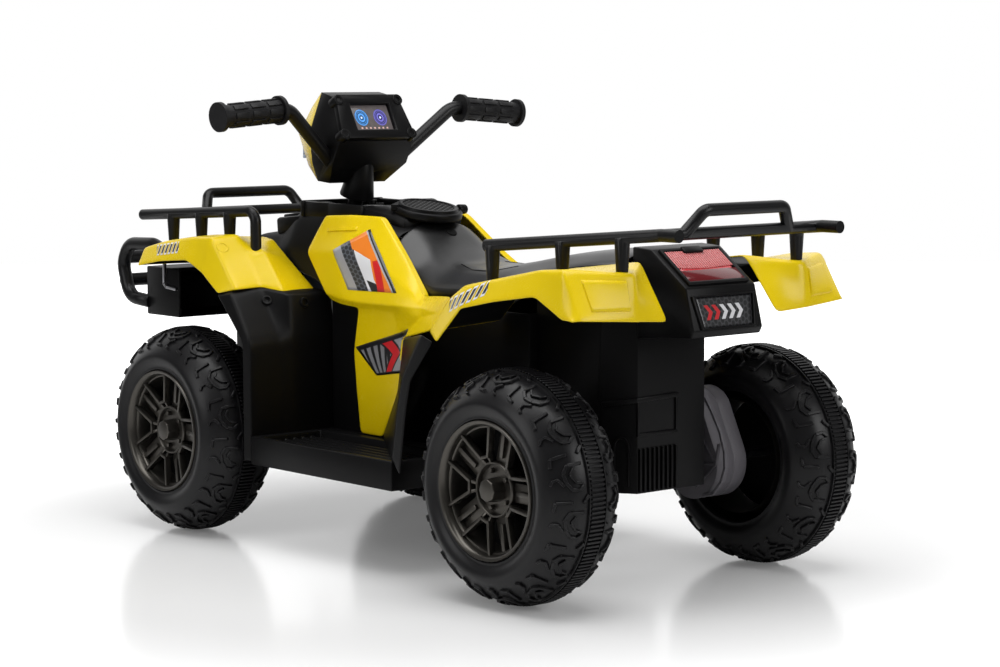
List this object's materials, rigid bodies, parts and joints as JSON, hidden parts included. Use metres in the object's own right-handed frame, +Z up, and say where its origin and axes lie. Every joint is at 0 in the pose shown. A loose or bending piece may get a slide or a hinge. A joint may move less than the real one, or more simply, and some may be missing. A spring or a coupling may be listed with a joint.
{
  "type": "ride-on quad bike",
  "caption": "Child's electric ride-on quad bike with moulded panels, tube racks and bumper, raked steering with knuckles and tie rod, and a geared motor on a rear wheel.",
  "frame": {"origin": "on the floor, in the middle of the overall length and width", "axes": "+X forward, +Y to the rider's left, +Z up"},
  "size_m": [1.186, 0.565, 0.64],
  "materials": {
    "yellow_plastic": "gloss moulded plastic",
    "black_plastic": "satin moulded plastic",
    "black_tube": "satin black powder coat",
    "bright_steel": "zinc plated",
    "grey_plastic": "matt moulded plastic",
    "gear_nylon": "plain nylon",
    "tyre_black": "blow-moulded plastic, matt",
    "rim_gunmetal": "dark bronze metallic paint",
    "grip_rubber": "soft ribbed rubber",
    "red_lens": "clear red plastic",
    "clear_lens": "clear plastic over a reflector",
    "screen_glass": "glossy display"
  },
  "bodies": {
    "chassis": {"chassis_tub": "black_plastic", "rear_housing": "black_plastic", "front_frame": "black_tube", "kingpins": "bright_steel", "front_fascia": "black_plastic", "headlights": "clear_lens", "top_cover": "black_plastic", "seat": "black_plastic", "speaker_grille": "black_plastic", "side_panel_left": "yellow_plastic", "side_panel_right": "yellow_plastic", "front_fender_left": "yellow_plastic", "front_fender_right": "yellow_plastic", "rear_fender_left": "yellow_plastic", "rear_fender_right": "yellow_plastic", "leg_shield_left": "black_plastic", "leg_shield_right": "black_plastic", "footboard_left": "black_plastic", "footboard_right": "black_plastic", "rear_arch_left": "black_plastic", "rear_arch_right": "black_plastic", "tail_box": "black_plastic", "tail_light_lens": "red_lens", "front_rack": "black_tube", "rear_rack": "black_tube", "front_bumper": "black_tube", "rear_axle": "bright_steel", "gearbox_case": "grey_plastic", "gearbox_cover": "grey_plastic", "drive_motor": "bright_steel", "battery": "black_plastic", "control_box": "black_plastic", "column_bushes": "black_plastic", "charge_socket": "black_plastic", "pedal_bracket": "black_plastic"},
    "steering": {"steering_column": "bright_steel", "handlebar": "black_tube", "grip_left": "grip_rubber", "grip_right": "grip_rubber", "pod_rear_shell": "black_plastic", "pod_front_cowl": "yellow_plastic", "dash_screen": "screen_glass", "pod_lamp_lens": "clear_lens", "column_neck": "black_plastic"},
    "knuckle_left": {"knuckle_left": "bright_steel"},
    "knuckle_right": {"knuckle_right": "bright_steel"},
    "tie_rod": {"tie_rod": "bright_steel"},
    "wheel_front_left": {"tyre_front_left": "tyre_black", "rim_front_left": "rim_gunmetal"},
    "wheel_front_right": {"tyre_front_right": "tyre_black", "rim_front_right": "rim_gunmetal"},
    "wheel_rear_left": {"tyre_rear_left": "tyre_black", "rim_rear_left": "rim_gunmetal"},
    "wheel_rear_right": {"tyre_rear_right": "tyre_black", "rim_rear_right": "rim_gunmetal", "output_gear": "gear_nylon"},
    "reduction_gear": {"reduction_gear": "gear_nylon"},
    "motor_pinion": {"motor_pinion": "gear_nylon"},
    "accelerator_pedal": {"accelerator_pedal": "black_plastic"},
    "direction_rocker": {"direction_rocker": "black_plastic"},
    "power_button": {"power_button": "black_plastic"}
  },
  "joints": [
    {"name": "steer", "type": "hinge", "parent": "chassis", "child": "steering", "pos_m": [0.3452, 0, 0.13], "axis": [-0.304, 0, 0.9527], "range_deg": [-20, 20]},
    {"name": "knuckle_left_turn", "type": "hinge", "parent": "chassis", "child": "knuckle_left", "pos_m": [0.3452, 0.14, 0.15], "axis": [0, 0, 1], "range_deg": [-20, 20]},
    {"name": "knuckle_right_turn", "type": "hinge", "parent": "chassis", "child": "knuckle_right", "pos_m": [0.3452, -0.14, 0.15], "axis": [0, 0, 1], "range_deg": [-20, 20]},
    {"name": "tie_rod_pivot", "type": "hinge", "parent": "knuckle_left", "child": "tie_rod", "pos_m": [0.3052, 0.14, 0.131], "axis": [0, 0, 1], "range_deg": [-20, 20]},
    {"name": "wheel_front_left_roll", "type": "hinge", "parent": "knuckle_left", "child": "wheel_front_left", "pos_m": [0.3452, 0.2185, 0.15], "axis": [0, 1, 0], "continuous": true},
    {"name": "wheel_front_right_roll", "type": "hinge", "parent": "knuckle_right", "child": "wheel_front_right", "pos_m": [0.3452, -0.2185, 0.15], "axis": [0, 1, 0], "continuous": true},
    {"name": "wheel_rear_left_roll", "type": "hinge", "parent": "chassis", "child": "wheel_rear_left", "pos_m": [-0.384, 0.2185, 0.15], "axis": [0, 1, 0], "continuous": true},
    {"name": "wheel_rear_right_roll", "type": "hinge", "parent": "chassis", "child": "wheel_rear_right", "pos_m": [-0.384, -0.2185, 0.15], "axis": [0, 1, 0], "continuous": true},
    {"name": "reduction_gear_turn", "type": "hinge", "parent": "chassis", "child": "reduction_gear", "pos_m": [-0.37033, -0.125, 0.201], "axis": [0, 1, 0], "continuous": true},
    {"name": "motor_pinion_turn", "type": "hinge", "parent": "chassis", "child": "motor_pinion", "pos_m": [-0.35408, -0.115, 0.22915], "axis": [0, 1, 0], "continuous": true},
    {"name": "pedal_press", "type": "hinge", "parent": "chassis", "child": "accelerator_pedal", "pos_m": [0.0686, -0.178, 0.162], "axis": [0, 1, 0], "range_deg": [0, 14], "stiffness_Nm_per_rad": 0.8, "springref_deg": -8.59},
    {"name": "direction_tip", "type": "hinge", "parent": "chassis", "child": "direction_rocker", "pos_m": [0.2436, 0.046, 0.4715], "axis": [0, 1, 0], "range_deg": [-8, 8]},
    {"name": "power_press", "type": "slide", "parent": "chassis", "child": "power_button", "axis": [0, 0, -1], "range_m": [0, 0.003], "stiffness_N_per_m": 300, "springref_m": -0.002}
  ],
  "couplings": [
    {"joint": "knuckle_left_turn", "follows": "steer", "ratio": 1},
    {"joint": "knuckle_right_turn", "follows": "steer", "ratio": 1},
    {"joint": "tie_rod_pivot", "follows": "steer", "ratio": -1},
    {"joint": "reduction_gear_turn", "follows": "wheel_rear_right_roll", "ratio": -3.7143},
    {"joint": "motor_pinion_turn", "follows": "wheel_rear_right_roll", "ratio": 12.381}
  ]
}
